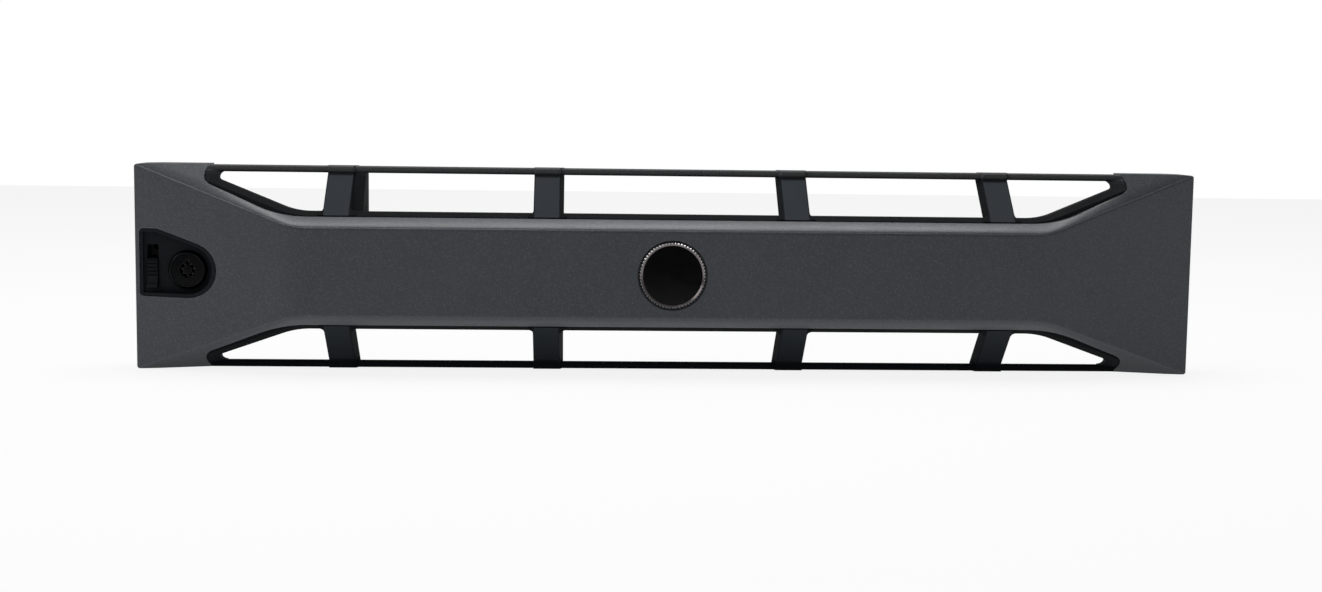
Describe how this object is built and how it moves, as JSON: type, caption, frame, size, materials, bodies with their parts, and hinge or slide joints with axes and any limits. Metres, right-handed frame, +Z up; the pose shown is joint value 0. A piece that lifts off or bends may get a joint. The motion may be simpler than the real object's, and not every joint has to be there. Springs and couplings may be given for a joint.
{
  "type": "server front bezel",
  "caption": "Lockable front bezel for a rack server: painted faceplate over a black ribbed frame with air openings, latch, hooks and round badge.",
  "frame": {"origin": "middle of the bounding box's underside", "axes": "+X along the width, to the right as seen from the front; +Y from the front to the server; +Z up"},
  "size_m": [0.443, 0.045, 0.0854],
  "materials": {
    "paint": "fine-textured satin slate grey",
    "black_plastic": "grained black",
    "badge_metal": "polished with a knurled rim",
    "badge_black": "gloss black",
    "pad": "adhesive foam",
    "lock_black": "black plated zinc",
    "steel": "zinc plated"
  },
  "bodies": {
    "bezel": {"faceplate": "paint", "inner_frame": "black_plastic", "badge_ring": "badge_metal", "badge_disc": "badge_black", "badge_pad": "pad", "lock_housing": "black_plastic", "lock_barrel": "lock_black", "lock_nut": "steel", "latch_screws": "steel", "latch_spring": "steel", "hook_bracket": "steel", "bracket_screws": "steel", "frame_screws": "steel", "housing_screws": "steel"},
    "latch": {"release_slider": "black_plastic", "slider_screw": "steel", "latch_plate": "lock_black"},
    "lock": {"lock_plug": "lock_black", "lock_pins": "steel", "lock_cam": "steel", "cam_screw": "steel"}
  },
  "joints": [
    {"name": "release_slide", "type": "slide", "parent": "bezel", "child": "latch", "axis": [0, 0, 1], "range_m": [0, 0.0055], "stiffness_N_per_m": 250, "springref_m": -0.006, "deforming": ["latch_spring"]},
    {"name": "lock_turn", "type": "hinge", "parent": "bezel", "child": "lock", "pos_m": [-0.2002, 0.00845, 0.0416], "axis": [0, 1, 0], "range_deg": [0, 90]}
  ]
}
